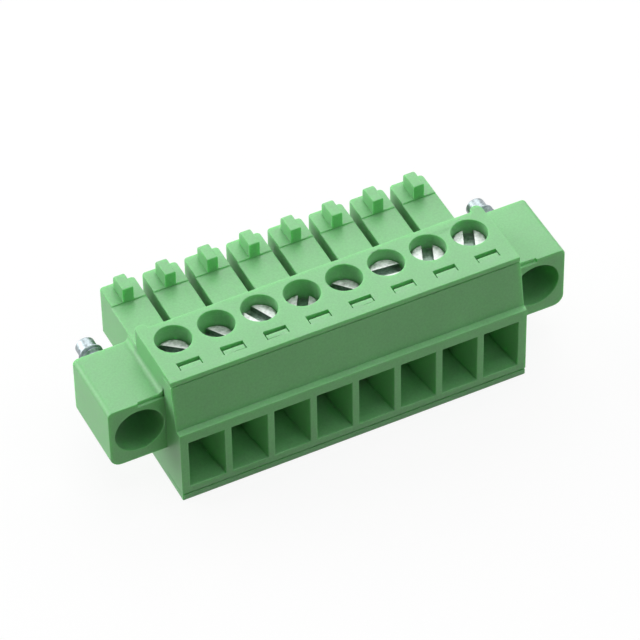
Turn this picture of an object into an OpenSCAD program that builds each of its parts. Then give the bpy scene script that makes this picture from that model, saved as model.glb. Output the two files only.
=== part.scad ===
// Pluggable screw terminal block with threaded flanges, eight poles.
// X runs along the row of poles, -Y is the wire side, +Y the plug side,
// +Z is the screw side. The origin is the middle of the footprint.

/* [Row of poles] */
// Distance from one pole to the next
pitch = 3.5; // [3.4:0.01:4]
// Body beyond the last pole's share of the row, at each end
end_margin = 0.4; // [0.3:0.05:0.8]

/* [Body] */
// Height of the body over its screw side
body_h = 11.35; // [11.2:0.05:12.5]
// Clamp axis to the front face of the wire-entry frame
front_reach = 5.3; // [5.1:0.05:6]
// Clamp axis to the back face of the body
body_back = 1.95; // [1.9:0.05:2.3]
// Thickness of the top plate over the wire-entry front
plate_t = 0.5; // [0.4:0.05:0.8]
// Clamp axis to the front edge of the top plate
plate_reach = 4.1; // [3.8:0.05:4.5]
// Thickness of the bottom plate under the wire-entry front
sole_t = 0.55; // [0.4:0.05:0.7]
// Clamp axis to the joint face between the housing and the front
joint_reach = 2.6; // [2.5:0.05:2.7]
// Seam left open under the top plate and over the bottom plate
seam = 0.06; // [0.02:0.01:0.12]
// Radius of the half-round rib at each end of the back face
end_rib_r = 0.5; // [0.3:0.05:0.6]
// Distance from the body's end to the middle of that rib
end_rib_inset = 0.52; // [0.5:0.02:0.7]

/* [Wire entries] */
// Width of an entry at the front face
entry_w = 2.95; // [2.6:0.05:3]
// Height of an entry at the front face
entry_h = 4.65; // [4.2:0.05:4.8]
// Height of an entry's lower edge above the base
entry_z = 1.25; // [1.1:0.05:1.4]
// Width of the straight throat behind the funnel
throat_w = 1.9; // [1.6:0.05:2.1]
// Height of the straight throat
throat_h = 2.3; // [2:0.05:2.4]
// Height of the throat's floor above the base
throat_z = 1.6; // [1.5:0.05:1.8]
// Depth of the tapered funnel
funnel_l = 2.7; // [2:0.1:3]
// Height of the ledge over the entries
ledge_z = 6.95; // [6.7:0.05:7.4]
// Clamp axis to the foot of the sloped face above the ledge
slope_reach = 4.78; // [4.5:0.02:5]
// Drop of the ledge from the slope to the front face
ledge_drop = 0.08; // [0:0.02:0.3]

/* [Snap windows] */
// Width of a window in the top plate
window_w = 1.85; // [1.4:0.05:2.2]
// Length of a window from front to back
window_l = 0.8; // [0.6:0.05:1]
// Clamp axis to the back edge of a window
window_reach = 2.45; // [2.3:0.05:2.55]
// Depth of a window's floor below the top
window_d = 0.9; // [0.7:0.05:1.5]
// Gap between a snap hook and the window's back edge
hook_gap = 0.38; // [0.3:0.02:0.5]
// Gap between a snap hook and the window's sides and front
hook_side = 0.1; // [0.05:0.01:0.2]
// Depth of the snap hook's top below the top plate
hook_drop = 0.1; // [0.05:0.01:0.2]

/* [Clamp chambers] */
// Width of a chamber
chamber_w = 2.7; // [2.6:0.05:2.8]
// Clamp axis to the back wall of a chamber
chamber_back = 1.45; // [1.4:0.05:1.6]
// Height of the chamber floor above the base
chamber_floor = 1; // [0.8:0.05:1.1]
// Thickness of the roof that the screws pass through
roof_t = 2.25; // [2.2:0.05:2.35]
// Gap round the noses that close the chambers
nose_gap = 0.05; // [0.03:0.01:0.1]

/* [Contact towers] */
// Gap between two towers
tower_gap = 0.6; // [0.4:0.05:0.8]
// Height of a tower's underside above the base
tower_z = 3.65; // [3.4:0.05:3.8]
// Height of a tower
tower_h = 4.3; // [4.1:0.05:4.6]
// Clamp axis to the back face of the towers
tower_reach = 10.45; // [10:0.05:12]
// Radius of a tower's upright back edges
tower_r = 0.3; // [0.1:0.05:0.5]
// Step up of the tower's rear top surface
rear_step = 0.12; // [0.05:0.01:0.2]
// Clamp axis to that step and to the front of the coding key
key_reach = 8.2; // [7.5:0.05:8.5]
// Width of a coding key
key_w = 0.9; // [0.6:0.05:1.2]
// Length of a coding key
key_l = 1.85; // [1.4:0.05:2]
// Height of a coding key above the tower's front top
key_h = 1.4; // [1:0.05:1.8]
// Radius of the key's back upper edge
key_r = 0.45; // [0.2:0.05:0.6]
// Width of the contact cavity inside a tower
cavity_w = 2.1; // [2:0.05:2.2]
// Height of the contact cavity
cavity_h = 2.6; // [2.5:0.05:2.8]
// Thickness of a tower's back wall
back_wall = 0.6; // [0.4:0.05:0.8]
// Side of the square pin aperture
aperture = 1.4; // [1.2:0.05:1.5]
// Depth and width of the bevel round the aperture
aperture_bevel = 0.25; // [0.1:0.05:0.3]
// Height of the mating pin's axis above the cavity floor
pin_rise = 1.3; // [1.2:0.05:1.4]

/* [Flanges] */
// Width of a flange beyond the body
flange_w = 4.55; // [4.3:0.05:5]
// Height of the flange's underside above the base
flange_z = 3.45; // [3:0.05:3.6]
// Height of a flange
flange_h = 5.65; // [5.2:0.05:6]
// Clamp axis to the flange's front face
flange_front = 2.86; // [2.6:0.02:3.2]
// Clamp axis to the flange's back face
flange_back = 3.45; // [3:0.05:4]
// Radius of the flange's outer upper edge
flange_top_r = 0.45; // [0.2:0.05:0.8]
// Radius of the flange's outer lower edge
flange_foot_r = 0.9; // [0.4:0.05:1.2]
// Radius of the fillet between the flange's top and the body
flange_fillet = 0.5; // [0.2:0.05:0.8]
// Radius of the bore that holds the fixing screw's head
bore_r = 1.95; // [1.8:0.05:2.1]
// Distance of the bore's axis from the body
bore_inset = 2.1; // [2.1:0.05:2.3]
// Height of the bore's axis above the flange's underside
bore_rise = 2.9; // [2.7:0.05:3]
// Thickness of the wall behind the bore
bore_wall = 1; // [0.8:0.05:1.4]
// Height of the shallow step at the flange's front upper edge
flange_step_h = 0.3; // [0.1:0.05:0.4]
// Depth of that step
flange_step_d = 0.2; // [0.1:0.05:0.3]

/* [Clamp screws] */
// Nominal thread radius of a clamp screw
clamp_thread_r = 1; // [0.8:0.05:1]
// Radius of the clamp screw's head
clamp_head_r = 1.33; // [1.2:0.01:1.4]
// Height of the clamp screw's head
clamp_head_h = 0.85; // [0.7:0.05:0.9]
// Depth of the head's top below the top plate when the tip meets the bar
clamp_head_drop = 1.45; // [1.35:0.05:1.5]
// Width of the clamp screw's slot
clamp_slot_w = 0.82; // [0.4:0.02:0.9]
// Depth of the clamp screw's slot
clamp_slot_d = 0.5; // [0.3:0.05:0.6]
// Radial gap between the head and its hole
head_gap = 0.07; // [0.03:0.01:0.1]
// Radial gap between the thread and the cage
thread_gap = 0.03; // [0.02:0.01:0.05]
// Gap between the screw's tip and the current bar
tip_gap = 0.03; // [0.01:0.01:0.1]

/* [Clamp cages] */
// Width of a cage over its side walls
cage_w = 2.5; // [2.4:0.02:2.54]
// Length of a cage from front to back
cage_l = 2.7; // [2.4:0.02:2.74]
// Thickness of a cage's side walls
cage_side_t = 0.35; // [0.3:0.01:0.4]
// Thickness of a cage's floor
cage_floor_t = 0.5; // [0.4:0.02:0.6]
// Thickness of a cage's threaded top
cage_top_t = 0.85; // [0.7:0.05:0.9]
// Height of the window between the floor and the top
cage_window_h = 4.1; // [4:0.05:4.2]
// Gap under a cage when the clamp is open
cage_under = 0.1; // [0.05:0.01:0.15]
// Radius of the cage's lower outer edges
cage_edge_r = 0.3; // [0.1:0.05:0.4]

/* [Contacts] */
// Height of the current bar's underside above the base
bar_z = 4.3; // [4.25:0.01:4.4]
// Thickness of the current bar
bar_t = 0.7; // [0.5:0.05:0.75]
// Width of the current bar
bar_w = 1.6; // [1.2:0.05:1.65]
// Clamp axis to the front end of the current bar
bar_reach = 2.1; // [1.9:0.05:2.2]
// Clamp axis to the upright web between bar and fork
web_reach = 1.65; // [1.6:0.05:1.7]
// Thickness of that web
web_t = 0.6; // [0.4:0.05:0.8]
// Height of a fork's arms
fork_h = 1.6; // [1.2:0.05:1.8]
// Width over the fork at its root
fork_w = 1.9; // [1.7:0.05:1.95]
// Thickness of a fork's arms
fork_t = 0.32; // [0.2:0.02:0.4]
// Free gap between the arms where they grip the pin
grip_gap = 0.6; // [0.4:0.05:0.8]
// Gap between the arms at their mouth
mouth_gap = 1.25; // [1:0.05:1.3]
// Gap between the fork's mouth and the tower's back wall
mouth_clear = 0.3; // [0.2:0.05:0.5]
// Length of the fork's flared mouth
mouth_l = 1.1; // [0.8:0.05:1.4]

/* [Fixing screws] */
// Nominal thread radius of a fixing screw
fix_thread_r = 1; // [0.9:0.01:1.25]
// Radius of the neck that the flange holds
fix_neck_r = 0.78; // [0.7:0.01:0.8]
// Radial gap between the neck and the flange's hole
neck_gap = 0.07; // [0.03:0.01:0.1]
// Radial gap between the head and the bore
fix_head_gap = 0.1; // [0.05:0.01:0.1]
// Height of the fixing screw's head
fix_head_h = 1.5; // [1.3:0.1:2.4]
// Gap between the head and the wall behind it
fix_head_seat = 0.05; // [0.02:0.01:0.1]
// Width of the fixing screw's slot
fix_slot_w = 0.8; // [0.6:0.05:1]
// Depth of the fixing screw's slot
fix_slot_d = 0.8; // [0.5:0.05:1]
// Length of bare neck behind the flange
fix_neck_out = 1; // [0.8:0.05:1.8]
// Length of thread beyond the neck
fix_thread_l = 1.6; // [1.2:0.05:2.5]
// Radius of the plain point that leads the thread
fix_point_r = 0.78; // [0.6:0.01:0.85]
// Length of the plain point
fix_point_l = 1.1; // [0.5:0.05:1.5]
// Bevel at both ends of the thread and at the heads
screw_bevel = 0.15; // [0.05:0.01:0.25]

/* [Hidden] */
$fn = 48;
eps = 0.01;
poles = 8;
arc_steps = 6;
moulding_green = "#7FBF86";
zinc = "#C9CCCF";
nickel = "#B9B6AC";
tin = "#C4C6C2";
// Turn of each clamp screw's slot, as the screws were left
slot_turn = [-39, -57, -66, 59, -48, -5, 67, 67];
// Height of each clamp screw's tip above the bar, as the screws were left
screw_rise = [0.15, 0, 0.6, 0.05, 0.05, 0.55, 0.6, 0.6];

body_w = poles * pitch + 2 * end_margin;
body_end = body_w / 2;
// Places the clamp axis so that the footprint's middle is the origin
axis_y = (front_reach - tower_reach) / 2;
chamber_top = body_h - roof_t;
screw_hole_r = clamp_head_r + head_gap;
head_z = body_h - clamp_head_drop;
tower_w = pitch - tower_gap;
tower_top = tower_z + tower_h;
pin_z = bar_z + pin_rise;
bore_x = body_end + bore_inset;
bore_z = flange_z + bore_rise;
bore_end = flange_back - bore_wall;
neck_hole_r = fix_neck_r + neck_gap;
cage_z = chamber_floor + cage_under;
cage_window_z = cage_z + cage_floor_t;
cage_h = cage_floor_t + cage_window_h + cage_top_t;
bar_top = bar_z + bar_t;
nose_w = chamber_w - 2 * nose_gap;
nose_reach = cage_l / 2 + nose_gap;
mouth_reach = tower_reach - back_wall - mouth_clear;

// X of a pole, counted from 1 at the -X end
function pole_x(i) = (i - (poles + 1) / 2) * pitch;

// Points of an arc about c, from angle a to angle b
function arc(c, r, a, b) =
    [for (k = [0:arc_steps]) let (t = a + (b - a) * k / arc_steps) c + r * [cos(t), sin(t)]];

// Moves a shape drawn about the clamp axes into the part's frame
module at_axis() translate([0, axis_y, 0]) children();

// Repeats a shape at every pole
module each_pole() for (i = [1:poles]) translate([pole_x(i), 0, 0]) children();

// A box from its lowest to its highest corner
module block(low, high) translate(low) cube(high - low);

// Extrudes a profile drawn in Y and Z along X, centred
module along_x(w) translate([-w / 2, 0, 0]) rotate([90, 0, 90]) linear_extrude(w) children();

// Extrudes a profile drawn in X and Z along Y, from one Y to another
module along_y(from, to) translate([0, to, 0]) rotate([90, 0, 0]) linear_extrude(to - from) children();

// ---------- housing ----------

// Block behind the joint face, with the plates that reach over and under the front
module housing_shell() {
    block([-body_end, -joint_reach, 0], [body_end, body_back, body_h]);
    block([-body_end, -plate_reach, body_h - plate_t], [body_end, 0, body_h]);
    block([-body_end, -front_reach, 0], [body_end, 0, sole_t]);
    for (side = [-1, 1])
        translate([side * (body_end - end_rib_inset), body_back, flange_z])
            cylinder(h = body_h - flange_z, r = end_rib_r);
}

// One contact tower with its raised rear zone and coding key
module tower() {
    translate([0, 0, tower_z]) linear_extrude(tower_h) tower_plan();
    translate([0, 0, tower_top - eps]) linear_extrude(rear_step + eps)
        intersection() {
            tower_plan();
            translate([-tower_w, key_reach]) square([2 * tower_w, tower_reach]);
        }
    along_x(key_w) coding_key();
}

module tower_plan() {
    half = tower_w / 2;
    polygon(concat([[-half, body_back - eps], [half, body_back - eps]],
        arc([half - tower_r, tower_reach - tower_r], tower_r, 0, 90),
        arc([tower_r - half, tower_reach - tower_r], tower_r, 90, 180)));
}

module coding_key() {
    key_top = tower_top + key_h;
    key_end = key_reach + key_l;
    polygon(concat([[key_reach, tower_top - eps], [key_end, tower_top - eps]],
        arc([key_end - key_r, key_top - key_r], key_r, 0, 90),
        [[key_reach, key_top]]));
}

// Room for one cage, one contact and the mating pin
module pole_cavity() {
    block([-chamber_w / 2, -joint_reach - eps, chamber_floor],
        [chamber_w / 2, chamber_back, chamber_top]);
    translate([0, 0, chamber_top - eps]) cylinder(h = roof_t + 2 * eps, r = screw_hole_r);
    block([-cavity_w / 2, chamber_back - eps, bar_z], [cavity_w / 2, tower_reach - back_wall, bar_z + cavity_h]);
    pin_aperture();
}

// Square hole for the mating pin, bevelled on the outside
module pin_aperture() {
    half = aperture / 2;
    wide = half + aperture_bevel;
    inner = tower_reach - back_wall - eps;
    outer = tower_reach + eps;
    bevel_y = tower_reach - aperture_bevel;
    translate([0, 0, pin_z]) intersection() {
        translate([0, 0, -wide]) linear_extrude(2 * wide)
            polygon([[-half, inner], [half, inner], [half, bevel_y], [wide + eps, outer],
                [-wide - eps, outer], [-half, bevel_y]]);
        along_x(2 * wide + 1)
            polygon([[inner, -half], [bevel_y, -half], [outer, -wide - eps],
                [outer, wide + eps], [bevel_y, half], [inner, half]]);
    }
}

// Flange on the +X end: rounded outer edges and a fillet against the body
module flange() {
    tip = body_end + flange_w;
    top = flange_z + flange_h;
    along_y(-flange_front, flange_back)
        polygon(concat([[body_end - eps, flange_z]],
            arc([tip - flange_foot_r, flange_z + flange_foot_r], flange_foot_r, -90, 0),
            arc([tip - flange_top_r, top - flange_top_r], flange_top_r, 0, 90),
            arc([body_end + flange_fillet, top + flange_fillet], flange_fillet, -90, -180),
            [[body_end - eps, top + flange_fillet]]));
}

// Head bore, neck hole and the shallow step of the +X flange
module flange_cuts() {
    translate([bore_x, 0, bore_z]) rotate([-90, 0, 0]) {
        translate([0, 0, -flange_front - eps]) cylinder(h = flange_front + bore_end + eps, r = bore_r);
        cylinder(h = flange_back + eps, r = neck_hole_r);
    }
    block([body_end, -flange_front - eps, flange_z + flange_h - flange_step_h],
        [bore_x, flange_step_d - flange_front, flange_z + flange_h + flange_fillet + eps]);
}

// Window in the top plate for one snap hook
module snap_window() {
    block([-window_w / 2, -window_reach - window_l, body_h - window_d],
        [window_w / 2, -window_reach, body_h + eps]);
}

module housing() color(moulding_green) at_axis() difference() {
    union() {
        housing_shell();
        each_pole() tower();
        flange();
        mirror([1, 0, 0]) flange();
    }
    each_pole() {
        pole_cavity();
        snap_window();
    }
    flange_cuts();
    mirror([1, 0, 0]) flange_cuts();
}

// ---------- wire-entry front ----------

// Side profile: front face, ledge, sloped face and joint face
module front_profile() {
    top = body_h - plate_t - seam;
    polygon([[-joint_reach, sole_t + seam], [-joint_reach, top], [-plate_reach, top],
        [-slope_reach, ledge_z], [-front_reach, ledge_z - ledge_drop], [-front_reach, sole_t + seam]]);
}

// Nose that closes a chamber in front of its cage and holds the bar's end
module nose() {
    difference() {
        block([-nose_w / 2, -joint_reach - eps, chamber_floor + nose_gap],
            [nose_w / 2, -nose_reach, chamber_top - nose_gap]);
        block([-bar_w / 2, -bar_reach, bar_z], [bar_w / 2, 0, bar_top]);
    }
}

// Tapered funnel that runs into a straight throat
module wire_entry() {
    mouth_y = -front_reach - eps;
    throat_y = -front_reach + funnel_l;
    middle = throat_z + throat_h / 2;
    intersection() {
        linear_extrude(body_h)
            polygon([[-entry_w / 2, mouth_y], [entry_w / 2, mouth_y], [throat_w / 2, throat_y],
                [throat_w / 2, 0], [-throat_w / 2, 0], [-throat_w / 2, throat_y]]);
        along_x(pitch)
            polygon([[mouth_y, entry_z], [throat_y, throat_z], [0, throat_z], [0, throat_z + throat_h],
                [throat_y, throat_z + throat_h], [mouth_y, entry_z + entry_h]]);
    }
}

// Snap hook that rises into a window of the top plate
module snap_hook() {
    hook_back = window_reach + hook_gap;
    hook_front = window_reach + window_l - hook_side;
    half = window_w / 2 - hook_side;
    block([-half, -hook_front, body_h - plate_t - seam - eps], [half, -hook_back, body_h - hook_drop]);
}

module wire_entry_front() color(moulding_green) at_axis() {
    difference() {
        union() {
            along_x(body_w) front_profile();
            each_pole() nose();
        }
        each_pole() wire_entry();
    }
    each_pole() snap_hook();
}

// ---------- clamp screws, cages and contacts ----------

// Slotted clamp screw, head up, over the bar or a little above it
module clamp_screw(i) color(zinc) at_axis() translate([pole_x(i), 0, screw_rise[i - 1]]) difference() {
    foot = bar_top + tip_gap;
    under = head_z - clamp_head_h;
    rotate_extrude()
        polygon([[0, foot], [clamp_thread_r - screw_bevel, foot],
            [clamp_thread_r, foot + screw_bevel], [clamp_thread_r, under],
            [clamp_head_r, under], [clamp_head_r, head_z - screw_bevel],
            [clamp_head_r - screw_bevel, head_z], [0, head_z]]);
    rotate([0, 0, slot_turn[i - 1]])
        block([-clamp_head_r, -clamp_slot_w / 2, head_z - clamp_slot_d],
            [clamp_head_r, clamp_slot_w / 2, head_z + eps]);
}

// Rising cage, open at the front and back, threaded through its top
module clamp_cage(i) color(nickel) at_axis() translate([pole_x(i), 0, 0]) difference() {
    half = cage_w / 2;
    inner = half - cage_side_t;
    along_y(-cage_l / 2, cage_l / 2)
        polygon(concat([[-half, cage_z + cage_h]],
            arc([cage_edge_r - half, cage_z + cage_edge_r], cage_edge_r, 180, 270),
            arc([half - cage_edge_r, cage_z + cage_edge_r], cage_edge_r, 270, 360),
            [[half, cage_z + cage_h]]));
    block([-inner, -cage_l, cage_window_z], [inner, cage_l, cage_window_z + cage_window_h]);
    translate([0, 0, cage_window_z]) cylinder(h = cage_h, r = clamp_thread_r + thread_gap);
}

// One arm of the fork, seen from above
module fork_arm() {
    root = fork_w / 2;
    grip = mouth_reach - mouth_l;
    polygon([[root - fork_t, web_reach], [root, web_reach], [root, web_reach + 2 * web_t],
        [grip_gap / 2 + fork_t, grip], [mouth_gap / 2 + fork_t, mouth_reach],
        [mouth_gap / 2, mouth_reach], [grip_gap / 2, grip],
        [root - fork_t, web_reach + 2 * web_t]]);
}

// Current bar, upright web and the fork that grips the mating pin
module contact(i) color(tin) at_axis() translate([pole_x(i), 0, 0]) {
    block([-bar_w / 2, -bar_reach, bar_z], [bar_w / 2, web_reach + eps, bar_top]);
    block([-fork_w / 2, web_reach, bar_z], [fork_w / 2, web_reach + web_t, pin_z + fork_h / 2]);
    translate([0, 0, pin_z - fork_h / 2]) linear_extrude(fork_h) {
        fork_arm();
        mirror([1, 0]) fork_arm();
    }
}

// Captive fixing screw: slotted head in the bore, neck in the wall, thread and plain point behind
module fixing_screw(side) color(zinc) at_axis()
    translate([side * bore_x, 0, bore_z]) rotate([-90, 0, 0]) difference() {
        seat = bore_end - fix_head_seat;
        head_r = bore_r - fix_head_gap;
        thread = flange_back + fix_neck_out;
        thread_end = thread + fix_thread_l;
        tip = thread_end + fix_point_l;
        rotate_extrude()
            polygon([[0, seat - fix_head_h], [head_r - screw_bevel, seat - fix_head_h],
                [head_r, seat - fix_head_h + screw_bevel], [head_r, seat],
                [fix_neck_r, seat], [fix_neck_r, thread],
                [fix_thread_r, thread + screw_bevel], [fix_thread_r, thread_end - screw_bevel],
                [fix_point_r, thread_end], [fix_point_r, tip - screw_bevel],
                [fix_point_r - screw_bevel, tip], [0, tip]]);
        block([-head_r, -fix_slot_w / 2, seat - fix_head_h - eps],
            [head_r, fix_slot_w / 2, seat - fix_head_h + fix_slot_d]);
    }

housing();
wire_entry_front();
clamp_screw(1);  // clamp_screw_1
clamp_screw(2);  // clamp_screw_2
clamp_screw(3);  // clamp_screw_3
clamp_screw(4);  // clamp_screw_4
clamp_screw(5);  // clamp_screw_5
clamp_screw(6);  // clamp_screw_6
clamp_screw(7);  // clamp_screw_7
clamp_screw(8);  // clamp_screw_8
clamp_cage(1);  // clamp_cage_1
clamp_cage(2);  // clamp_cage_2
clamp_cage(3);  // clamp_cage_3
clamp_cage(4);  // clamp_cage_4
clamp_cage(5);  // clamp_cage_5
clamp_cage(6);  // clamp_cage_6
clamp_cage(7);  // clamp_cage_7
clamp_cage(8);  // clamp_cage_8
contact(1);  // contact_1
contact(2);  // contact_2
contact(3);  // contact_3
contact(4);  // contact_4
contact(5);  // contact_5
contact(6);  // contact_6
contact(7);  // contact_7
contact(8);  // contact_8
fixing_screw(-1);  // fixing_screw_left
fixing_screw(1);  // fixing_screw_right
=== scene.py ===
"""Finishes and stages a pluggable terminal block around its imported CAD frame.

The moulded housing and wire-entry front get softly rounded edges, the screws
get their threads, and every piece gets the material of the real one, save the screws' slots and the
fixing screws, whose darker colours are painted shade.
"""

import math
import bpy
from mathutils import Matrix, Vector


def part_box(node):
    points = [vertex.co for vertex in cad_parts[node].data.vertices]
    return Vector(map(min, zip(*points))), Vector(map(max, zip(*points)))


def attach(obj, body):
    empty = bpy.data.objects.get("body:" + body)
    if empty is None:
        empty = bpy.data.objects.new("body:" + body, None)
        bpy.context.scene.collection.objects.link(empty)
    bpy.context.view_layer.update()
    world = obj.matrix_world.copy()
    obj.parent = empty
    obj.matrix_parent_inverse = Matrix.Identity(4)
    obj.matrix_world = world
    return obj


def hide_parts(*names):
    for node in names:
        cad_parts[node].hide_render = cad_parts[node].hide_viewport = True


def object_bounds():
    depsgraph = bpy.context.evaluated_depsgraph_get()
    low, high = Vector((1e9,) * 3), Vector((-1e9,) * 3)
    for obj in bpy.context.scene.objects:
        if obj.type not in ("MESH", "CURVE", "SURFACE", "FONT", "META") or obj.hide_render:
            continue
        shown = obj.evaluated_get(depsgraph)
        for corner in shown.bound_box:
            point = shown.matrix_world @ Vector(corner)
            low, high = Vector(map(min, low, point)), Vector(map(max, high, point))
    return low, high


bl_info = {
    "name": "Terminal Block Finish",
    "version": (1, 0, 0),
    "blender": (4, 5, 0),
    "location": "View3D > Sidebar > Terminal Block",
    "description": "Rounds, threads and finishes the pieces of a terminal block",
    "category": "Object",
}

import bmesh
import bpy
from bpy.props import FloatProperty, FloatVectorProperty, PointerProperty
from mathutils import Matrix, Vector
from mathutils.bvhtree import BVHTree

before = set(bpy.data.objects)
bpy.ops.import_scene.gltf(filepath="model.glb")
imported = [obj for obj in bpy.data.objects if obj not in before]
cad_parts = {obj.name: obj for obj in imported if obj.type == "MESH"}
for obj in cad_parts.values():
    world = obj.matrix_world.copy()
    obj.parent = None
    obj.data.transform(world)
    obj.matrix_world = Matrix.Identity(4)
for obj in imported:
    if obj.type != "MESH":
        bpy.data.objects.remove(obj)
CAD_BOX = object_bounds()

MM = 0.001
POLES = sum(name.startswith("contact_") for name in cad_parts)

# The mouldings: the plane where the front meets the housing, and the ends of the body that both share
JOINT_FACE = -5.175 * MM
BODY_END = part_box("wire_entry_front")[1].x
# The flanges: their height, and how far either side of the body's end their fillets run out
FLANGE_LOW, FLANGE_HIGH = 3.4 * MM, 9.7 * MM
RUNOUT_INSIDE, RUNOUT_OUTSIDE = 0.05 * MM, 0.15 * MM
# The snap hooks: the front's upper face that they stand on, their tops, backs and depth, and how far
# they are moved to their seats
HOOK_FOOT = 10.79 * MM
HOOK_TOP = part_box("wire_entry_front")[1].z
HOOK_BACK = -5.305 * MM
HOOK_DEPTH = 0.5 * MM
HOOK_TRAVEL = 0.07 * MM
# The screws: the radius of their thread, the facets along one turn of it, and the reach within which a
# head has nothing but its slot
THREAD_R = 1.0 * MM
CUTS_PER_TURN = 12
SLOT_DEEPEST = 0.82 * MM
SLOT_HALF_WIDEST = 0.6 * MM

# Meshes: points closer than a weld are one, shorter edges than a sliver are left as they are, faces
# flatter than flat are joined, and edges flatter than sharp aren't edges to the eye
WELD = 0.0005 * MM
SLIVER = 0.03 * MM
FLAT = math.radians(0.5)
SHARP = math.radians(35)

# The floor: how far it reaches, how far it lies below the block, and how much of it is seen as white
FLOOR_REACH = 3.0
FLOOR_DROP = 0.01 * MM
FLOOR_LIFT = 0.9
# Strength of the soft light that comes from all round
FILL_LIGHT = 0.02
# The soft boxes: name, place and width in metres, and power in watts. They all aim at the origin
SOFTBOXES = (
    ("softbox_top", (0, 0, 0.6), 0.4, 1.2),
    ("softbox_back_right", (0.18, 0.38, 0.42), 0.4, 1.45),
    ("softbox_right", (0.5, 0.06, 0.3), 0.4, 0.9),
    ("softbox_left", (-0.4, 0.42, 0.14), 0.6, 4.9),
    ("softbox_front", (0.2, -0.45, 0.42), 0.4, 0.65),
)
# The camera: where it stands around its aim, how it is tilted, and its lens in millimetres
CAMERA_AZIMUTH = math.radians(-25.64)
CAMERA_ELEVATION = math.radians(44.88)
CAMERA_ROLL = math.radians(-1.15)
CAMERA_AIM = Vector((-0.31, -2.575, 7.81)) * MM
CAMERA_DISTANCE = 308.5 * MM
CAMERA_LENS = 232.55
CAMERA_SENSOR = 36
CAMERA_NEAR, CAMERA_FAR = 0.01, 20


def linear(code):
    """Turns an sRGB hex colour into the linear values that Blender works in."""
    channels = [int(code[i:i + 2], 16) / 255 for i in (1, 3, 5)]
    return tuple(c / 12.92 if c <= 0.04045 else ((c + 0.055) / 1.055) ** 2.4 for c in channels)


def length(name, description, default):
    """A length setting, in metres."""
    return FloatProperty(name=name, description=description, default=default, min=0,
                         subtype="DISTANCE", unit="LENGTH")


def colour(name, description, code):
    """A colour setting, from an sRGB hex value."""
    return FloatVectorProperty(name=name, description=description, subtype="COLOR", size=3, min=0, max=1,
                               default=linear(code))


# ---------- settings ----------


class BlockSizes(bpy.types.PropertyGroup):
    """Sizes of what is added to the CAD pieces."""

    edge_round: length("Edge rounding", "Radius of the moulding's outer edges", 0.09 * MM)
    screw_round: length("Screw edge rounding", "Radius of the screws' edges", 0.04 * MM)
    thread_pitch: length("Thread pitch", "Pitch of the screws' M2 thread", 0.4 * MM)
    thread_depth: length("Thread depth", "Depth of the screws' M2 thread", 0.24 * MM)


class BlockColours(bpy.types.PropertyGroup):
    """Colours of the finishes and of the stage."""

    moulding: colour("Moulding", "Green moulded polyamide", "#79BC7E")
    zinc: colour("Zinc", "Bright zinc plating", "#C6CAC8")
    # Painted shade and painted reflection: the slots are coloured darker and greener than the zinc, for
    # the shade in them and the green walls that they mirror
    slot: colour("Slot", "Zinc plating in the sawn slots", "#8C9F94")
    # Painted shade: a darker, bluer copy of the zinc for the fixing screws, to dull them in their light
    shaded_zinc: colour("Blued zinc", "Blue passivated zinc on the fixing screws", "#949FA2")
    nickel: colour("Nickel", "Satin nickel plating", "#C2BCAF")
    tin: colour("Tin", "Dull tin plating", "#C9CBC8")
    floor: colour("Floor", "Pale floor under the block", "#F8F8F8")
    floor_bounce: colour("Floor bounce", "The floor as it throws light back at the block", "#A9B89D")


# ---------- materials ----------


def add_node(tree, kind, inputs=(), **settings):
    """Adds a node. Settings are its properties; inputs maps a socket to its value or its source."""
    made = tree.nodes.new(kind)
    for key, value in settings.items():
        setattr(made, key, value)
    for socket, value in dict(inputs).items():
        if isinstance(value, bpy.types.NodeSocket):
            tree.links.new(value, made.inputs[socket])
        else:
            made.inputs[socket].default_value = value
    return made


def seen_rays(tree):
    """1 on rays from the camera, a reflection or clear material, and 0 on rays that only carry light."""
    rays = add_node(tree, "ShaderNodeLightPath").outputs
    seen = add_node(tree, "ShaderNodeMath", {0: rays["Is Camera Ray"], 1: rays["Is Transmission Ray"]},
                    operation="MAXIMUM")
    return add_node(tree, "ShaderNodeMath", {0: seen.outputs[0], 1: rays["Is Glossy Ray"]},
                    operation="MAXIMUM").outputs[0]


def new_material(name):
    """A material with only its shader and its output."""
    material = bpy.data.materials.new(name)
    material.use_nodes = True
    tree = material.node_tree
    tree.nodes.clear()
    shader = tree.nodes.new("ShaderNodeBsdfPrincipled")
    add_node(tree, "ShaderNodeOutputMaterial", {"Surface": shader.outputs["BSDF"]})
    return material, tree, shader


def grain(tree, size, detail):
    """Noise on object coordinates, whose grains are about size metres across."""
    place = add_node(tree, "ShaderNodeTexCoord").outputs["Object"]
    return add_node(tree, "ShaderNodeTexNoise", {"Vector": place, "Scale": 1 / size, "Detail": detail,
                                                 "Roughness": 0.5}).outputs["Fac"]


def spread(tree, source, low, high):
    """Maps 0.3 to 0.7, which holds nearly all of a noise, onto low to high."""
    return add_node(tree, "ShaderNodeMapRange", {"Value": source, "From Min": 0.3, "From Max": 0.7,
                                                 "To Min": low, "To Max": high}).outputs["Result"]


def shade(tree, source, colour_value, darker, lighter):
    """The colour times a factor that follows a noise from darker to lighter."""
    factor = spread(tree, source, darker, lighter)
    return add_node(tree, "ShaderNodeVectorMath", {0: colour_value, "Scale": factor},
                    operation="SCALE").outputs["Vector"]


def bump(tree, shader, height, distance):
    """Raises the surface by a height pattern."""
    made = add_node(tree, "ShaderNodeBump", {"Height": height, "Distance": distance})
    tree.links.new(made.outputs["Normal"], shader.inputs["Normal"])


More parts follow.
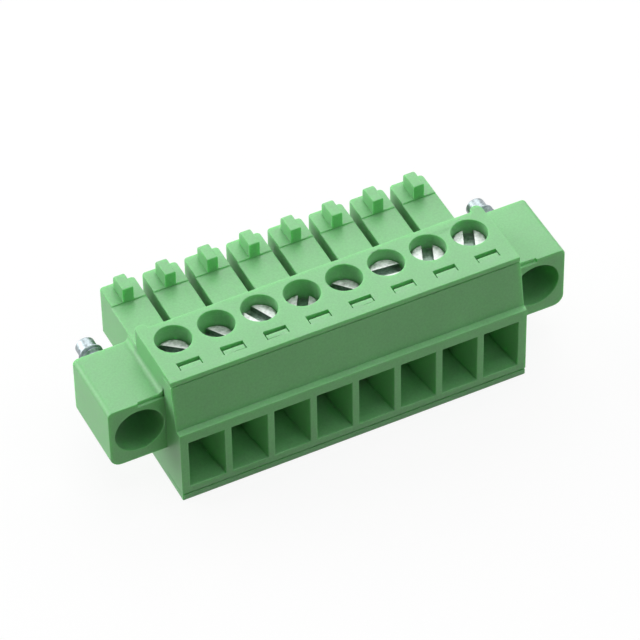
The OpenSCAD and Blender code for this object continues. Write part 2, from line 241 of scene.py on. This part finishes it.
def moulded_polyamide(colour_value):
    """Injection-moulded polyamide: a satin, faintly grainy green with soft clouds where the melt flowed,
    a little translucent, so that its shadows are green and not grey."""
    material, tree, shader = new_material("polyamide_green_moulded")
    flow = grain(tree, 5 * MM, detail=3)
    # The spark-eroded skin of the real one is about 0.03 mm, and is drawn at 0.16 mm so that it shows
    skin = grain(tree, 0.16 * MM, detail=2)
    clouded = shade(tree, flow, colour_value, 0.965, 1.03)
    tree.links.new(shade(tree, skin, clouded, 0.94, 1.06), shader.inputs["Base Color"])
    tree.links.new(spread(tree, skin, 0.40, 0.52), shader.inputs["Roughness"])
    shader.inputs["IOR"].default_value = 1.53
    shader.inputs["Subsurface Weight"].default_value = 0.7
    shader.inputs["Subsurface Radius"].default_value = (0.32, 1.0, 0.32)
    shader.inputs["Subsurface Scale"].default_value = 1.0 * MM
    bump(tree, shader, skin, 0.007 * MM)
    return material


def plated_metal(name, colour_value, roughness, grain_size, depth):
    """A plated metal: the fine grain of the plating breaks up its gloss."""
    material, tree, shader = new_material(name)
    fine = grain(tree, grain_size, detail=3)
    tree.links.new(shade(tree, fine, colour_value, 0.68, 1.18), shader.inputs["Base Color"])
    tree.links.new(spread(tree, fine, roughness * 0.8, roughness * 1.2), shader.inputs["Roughness"])
    shader.inputs["Metallic"].default_value = 1.0
    bump(tree, shader, fine, depth)
    return material


def zinc_plated_steel(colour_value):
    """Turned steel with bright zinc: a light, streaky gloss. Its tool marks are about 0.05 mm apart, and
    are drawn at 0.24 mm so that they show."""
    return plated_metal("steel_zinc_plated", colour_value, 0.58, 0.24 * MM, 0.03 * MM)


def slot_shade_zinc(colour_value):
    """The floor and sides of a screw's slot: painted shade and a painted reflection of the green walls
    round the head make it darker and greener than the zinc, with a torn gloss. Its saw marks are drawn at
    0.22 mm, coarser than real, so that they show."""
    return plated_metal("steel_zinc_painted_slot_shade", colour_value, 0.42, 0.22 * MM, 0.02 * MM)


def fixing_screw_shaded_zinc(colour_value):
    """Turned zinc-plated steel for the fixing screws, coloured darker and bluer than the heads' zinc as
    painted shade: a cool, clear gloss with hard highlights. Its tool marks are drawn at 0.22 mm, coarser
    than real, so that they show."""
    return plated_metal("steel_zinc_painted_shade", colour_value, 0.4, 0.22 * MM, 0.01 * MM)


def nickel_plated_steel(colour_value):
    """Stamped steel with nickel: a warm satin gloss, with a grain of 0.05 mm."""
    return plated_metal("steel_nickel_plated", colour_value, 0.34, 0.05 * MM, 0.001 * MM)


def tin_plated_copper(colour_value):
    """Stamped copper alloy with tin: a dull, pale gloss, with a grain of 0.06 mm."""
    return plated_metal("copper_alloy_tin_plated", colour_value, 0.42, 0.06 * MM, 0.001 * MM)


def matt_paper(floor, floor_bounce):
    """A matt paper floor: near white as it is seen, with the block's shadow on it, and duller as it
    throws light back."""
    material, tree, shader = new_material("floor_matt_paper")
    seen = seen_rays(tree)
    card = add_node(tree, "ShaderNodeMix", {0: seen, 6: (*floor_bounce, 1), 7: (*floor, 1)},
                    data_type="RGBA")
    tree.links.new(card.outputs[2], shader.inputs["Base Color"])
    shader.inputs["Roughness"].default_value = 0.9
    white = add_node(tree, "ShaderNodeEmission", {"Color": (1, 1, 1, 1), "Strength": 1.0})
    lift = add_node(tree, "ShaderNodeMath", {0: seen, 1: FLOOR_LIFT}, operation="MULTIPLY")
    lifted = add_node(tree, "ShaderNodeMixShader", {"Fac": lift.outputs[0], 1: shader.outputs[0],
                                                    2: white.outputs[0]})
    tree.links.new(lifted.outputs[0], tree.nodes["Material Output"].inputs["Surface"])
    return material


def give(piece, material):
    """Puts one material on the whole piece."""
    piece.data.materials.clear()
    piece.data.materials.append(material)


# ---------- meshes ----------


def finish_piece(name, bm, materials):
    """Makes an object of a bmesh, whose faces name their material by its place in the list."""
    mesh = bpy.data.meshes.new(name)
    for material in materials:
        mesh.materials.append(material)
    bm.to_mesh(mesh)
    bm.free()
    piece = bpy.data.objects.new(name, mesh)
    bpy.context.scene.collection.objects.link(piece)
    return piece


def stand_in(node, suffix, bm, body, materials):
    """Makes a piece that rides on a body and stands for a CAD node."""
    piece = finish_piece(f"{node}_{suffix}", bm, materials)
    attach(piece, body)
    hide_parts(node)
    return piece


def shade_by_angle(bm, limit):
    """Smooth faces, with every edge over the limit kept sharp."""
    for face in bm.faces:
        face.smooth = True
    for edge in bm.edges:
        edge.smooth = edge.calc_face_angle(math.pi) < limit


def clean_copy(node):
    """A CAD node's mesh with its triangles joined into flat faces."""
    bm = bmesh.new()
    bm.from_mesh(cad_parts[node].data)
    bmesh.ops.remove_doubles(bm, verts=bm.verts, dist=WELD)
    bmesh.ops.dissolve_limit(bm, angle_limit=FLAT, verts=bm.verts, edges=bm.edges)
    return bm


def open_edges(bm, stays_sharp):
    """Convex edges that face open space, without inner edges, slivers and what stays sharp."""
    tree = BVHTree.FromBMesh(bm)
    chosen = []
    for edge in bm.edges:
        middle = (edge.verts[0].co + edge.verts[1].co) / 2
        if edge.calc_length() < SLIVER or edge.calc_face_angle_signed() < SHARP or stays_sharp(middle):
            continue
        outward = sum((face.normal for face in edge.link_faces), Vector()).normalized()
        if tree.ray_cast(middle + outward * SLIVER, outward)[0] is None:
            chosen.append(edge)
    return chosen


def round_edges(bm, edges, radius):
    """Rounds the edges with two facets."""
    bmesh.ops.bevel(bm, geom=edges, offset=radius, offset_type="OFFSET", segments=2, profile=0.5,
                    affect="EDGES", material=-1, clamp_overlap=False, loop_slide=True)


def cut_thread(bm, head, along, pitch, depth):
    """Cuts a right-hand V thread into the stretch of a screw that has the thread's radius. The groove
    fades in and out over half a turn."""
    to_axis = (Matrix.Translation(head) @ along.to_track_quat("Z", "X").to_matrix().to_4x4()).inverted()
    bmesh.ops.transform(bm, matrix=to_axis, verts=bm.verts)
    heights = [vertex.co.z for vertex in bm.verts if abs(vertex.co.xy.length - THREAD_R) < SLIVER]
    low, high = min(heights), max(heights)
    cuts = math.ceil((high - low) / pitch * CUTS_PER_TURN)
    for cut in range(1, cuts):
        bmesh.ops.bisect_plane(bm, geom=bm.verts[:] + bm.edges[:] + bm.faces[:], dist=0.1 * SLIVER,
                               plane_co=(0, 0, low + (high - low) * cut / cuts), plane_no=(0, 0, 1))
    for vertex in bm.verts:
        x, y, z = vertex.co
        radius = math.hypot(x, y)
        if low < z < high and abs(radius - THREAD_R) < SLIVER:
            turns = z / pitch - math.atan2(y, x) / math.tau
            fade = min(1, 2 * (z - low) / pitch, 2 * (high - z) / pitch)
            groove = abs(2 * (turns % 1) - 1) * fade * depth
            vertex.co.xy *= 1 - groove / radius
    bmesh.ops.transform(bm, matrix=to_axis.inverted(), verts=bm.verts)


# ---------- operators ----------


class MouldingOperator(bpy.types.Operator):
    """Finish the two green mouldings"""

    bl_idname = "terminal_block.moulding"
    bl_label = "Moulding"

    def execute(self, context):
        material = moulded_polyamide(context.scene.block_colours.moulding)
        radius = context.scene.block_sizes.edge_round
        for node in ("housing", "wire_entry_front"):
            bm = clean_copy(node)
            if node == "wire_entry_front":
                self.seat_hooks(bm)
            round_edges(bm, open_edges(bm, self.stays_sharp), radius)
            shade_by_angle(bm, SHARP)
            piece = stand_in(node, "moulding", bm, "housing", [material])
            weighted = piece.modifiers.new("flat_faces_stay_flat", "WEIGHTED_NORMAL")
            weighted.keep_sharp = True
        return {"FINISHED"}

    @staticmethod
    def seat_hooks(bm):
        """Presses the snap hooks home: up to the deck and forward against the front of their windows."""
        tops = [vertex for vertex in bm.verts if vertex.co.z > HOOK_TOP - SLIVER]
        front = min(vertex.co.y for vertex in tops)
        faces = [vertex for vertex in bm.verts
                 if vertex.co.z > HOOK_FOOT - SLIVER and abs(vertex.co.y - front) < SLIVER]
        bmesh.ops.translate(bm, verts=tops, vec=(0, 0, HOOK_TRAVEL))
        bmesh.ops.translate(bm, verts=faces, vec=(0, -HOOK_TRAVEL, 0))

    @staticmethod
    def stays_sharp(place):
        """The joint face between the mouldings, the snap hooks and the rims of the windows that they sit
        in, and where a flange's fillet runs out against the body."""
        past_end = abs(place.x) - BODY_END
        on_root = -RUNOUT_INSIDE < past_end < RUNOUT_OUTSIDE and FLANGE_LOW < place.z < FLANGE_HIGH
        on_hook = HOOK_BACK - HOOK_DEPTH < place.y < HOOK_BACK and place.z > HOOK_FOOT + SLIVER
        return on_root or on_hook or abs(place.y - JOINT_FACE) < SLIVER


class MetalOperator(bpy.types.Operator):
    """Finish the clamp cages and contacts"""

    bl_idname = "terminal_block.metal"
    bl_label = "Cages and contacts"

    def execute(self, context):
        nickel = nickel_plated_steel(context.scene.block_colours.nickel)
        tin = tin_plated_copper(context.scene.block_colours.tin)
        for pole in range(1, POLES + 1):
            give(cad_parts[f"clamp_cage_{pole}"], nickel)
            give(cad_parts[f"contact_{pole}"], tin)
        return {"FINISHED"}


class ScrewOperator(bpy.types.Operator):
    """Finish the clamp screws and the fixing screws"""

    bl_idname = "terminal_block.screws"
    bl_label = "Screws"

    def execute(self, context):
        colours = context.scene.block_colours
        turned = zinc_plated_steel(colours.zinc)
        # Painted shade: the slots' darker, greener zinc, and the fixing screws' darker, bluer zinc
        shaded = slot_shade_zinc(colours.slot)
        shaded_zinc = fixing_screw_shaded_zinc(colours.shaded_zinc)
        for name in [f"clamp_screw_{pole}" for pole in range(1, POLES + 1)]:
            low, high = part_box(name)
            middle = (low + high) / 2
            head = Vector((middle.x, middle.y, high.z))
            self.finish_screw(context, name, head, Vector((0, 0, -1)), (turned, shaded))
        for name in ("fixing_screw_left", "fixing_screw_right"):
            low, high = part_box(name)
            middle = (low + high) / 2
            head = Vector((middle.x, low.y, middle.z))
            # The fixing screws' darker, bluer zinc is painted shade
            self.finish_screw(context, name, head, Vector((0, 1, 0)), (shaded_zinc, shaded))
        return {"FINISHED"}

    def finish_screw(self, context, name, head, along, materials):
        """Softens a screw's edges, cuts its thread and gives its slot the second material, whose colour is
        painted shade. The head is the middle of its top, and along is the way from there to the screw's
        end."""
        sizes = context.scene.block_sizes
        bm = clean_copy(name)
        round_edges(bm, open_edges(bm, lambda place: False), sizes.screw_round)
        cut_thread(bm, head, along, sizes.thread_pitch, sizes.thread_depth)
        shade_by_angle(bm, SHARP)
        for face in bm.faces:
            place = face.calc_center_median() - head
            depth = place.dot(along)
            out = (place - along * depth).length
            # Faces in the slot get the second material, whose darker, greener colour is painted shade
            gets_slot_shade = sizes.screw_round < depth < SLOT_DEEPEST and out < SLOT_HALF_WIDEST
            face.material_index = int(gets_slot_shade)
        stand_in(name, "threaded", bm, name, materials)


class StageOperator(bpy.types.Operator):
    """Set up the floor, the light and the camera"""

    bl_idname = "terminal_block.stage"
    bl_label = "Stage"

    def execute(self, context):
        self.floor(context)
        self.world(context)
        self.lamps(context)
        self.camera(context)
        context.scene.view_settings.view_transform = "Standard"
        return {"FINISHED"}

    def floor(self, context):
        """A wide pale floor just under the block."""
        colours = context.scene.block_colours
        bm = bmesh.new()
        bmesh.ops.create_grid(bm, x_segments=1, y_segments=1, size=FLOOR_REACH)
        bmesh.ops.translate(bm, verts=bm.verts, vec=(0, 0, CAD_BOX[0].z - FLOOR_DROP))
        finish_piece("floor", bm, [matt_paper(colours.floor, colours.floor_bounce)])

    def world(self, context):
        """Soft grey light, and white where the camera or a reflection sees past the floor."""
        world = bpy.data.worlds.new("studio")
        context.scene.world = world
        world.use_nodes = True
        tree = world.node_tree
        tree.nodes.clear()
        plain = add_node(tree, "ShaderNodeBackground", {"Color": (1, 1, 1, 1), "Strength": 1.0})
        soft = add_node(tree, "ShaderNodeBackground", {"Color": (1, 1, 1, 1), "Strength": FILL_LIGHT})
        mixed = add_node(tree, "ShaderNodeMixShader", {"Fac": seen_rays(tree), 1: soft.outputs[0],
                                                       2: plain.outputs[0]})
        add_node(tree, "ShaderNodeOutputWorld", {"Surface": mixed.outputs[0]})

    def lamps(self, context):
        """Soft boxes over, behind and beside the block, and a weak one in front."""
        for name, place, size, power in SOFTBOXES:
            lamp = bpy.data.lights.new(name, "AREA")
            lamp.shape = "SQUARE"
            lamp.size = size
            lamp.energy = power
            piece = bpy.data.objects.new(name, lamp)
            piece.location = place
            piece.rotation_euler = (-Vector(place)).to_track_quat("-Z", "Y").to_euler()
            context.scene.collection.objects.link(piece)

    def camera(self, context):
        """A long lens, from the left front and above."""
        level = math.cos(CAMERA_ELEVATION)
        back = Vector((math.sin(CAMERA_AZIMUTH) * level, -math.cos(CAMERA_AZIMUTH) * level,
                       math.sin(CAMERA_ELEVATION)))
        data = bpy.data.cameras.new("camera")
        data.lens = CAMERA_LENS
        data.sensor_width = CAMERA_SENSOR
        data.clip_start = CAMERA_NEAR
        data.clip_end = CAMERA_FAR
        piece = bpy.data.objects.new("camera", data)
        turn = (-back).to_track_quat("-Z", "Y").to_matrix().to_4x4() @ Matrix.Rotation(CAMERA_ROLL, 4, "Z")
        piece.matrix_world = Matrix.Translation(CAMERA_AIM + back * CAMERA_DISTANCE) @ turn
        context.scene.collection.objects.link(piece)
        context.scene.camera = piece


class BlockPanel(bpy.types.Panel):
    """Lists the steps that finish the terminal block."""

    bl_idname = "VIEW3D_PT_terminal_block"
    bl_label = "Terminal Block"
    bl_space_type = "VIEW_3D"
    bl_region_type = "UI"
    bl_category = "Terminal Block"

    def draw(self, context):
        column = self.layout.column()
        for settings in (context.scene.block_sizes, context.scene.block_colours):
            for key in settings.__annotations__:
                column.prop(settings, key)
        for step in STEPS:
            column.operator(step.bl_idname)


STEPS = (StageOperator, MouldingOperator, MetalOperator, ScrewOperator)
CLASSES = (BlockSizes, BlockColours, *STEPS, BlockPanel)


def register():
    for item in CLASSES:
        bpy.utils.register_class(item)
    bpy.types.Scene.block_sizes = PointerProperty(type=BlockSizes)
    bpy.types.Scene.block_colours = PointerProperty(type=BlockColours)


def unregister():
    del bpy.types.Scene.block_colours
    del bpy.types.Scene.block_sizes
    for item in reversed(CLASSES):
        bpy.utils.unregister_class(item)


def main():
    """Runs every step."""
    register()
    for step in STEPS:
        group, name = step.bl_idname.split(".")
        getattr(getattr(bpy.ops, group), name)()


if __name__ == "__main__":
    main()
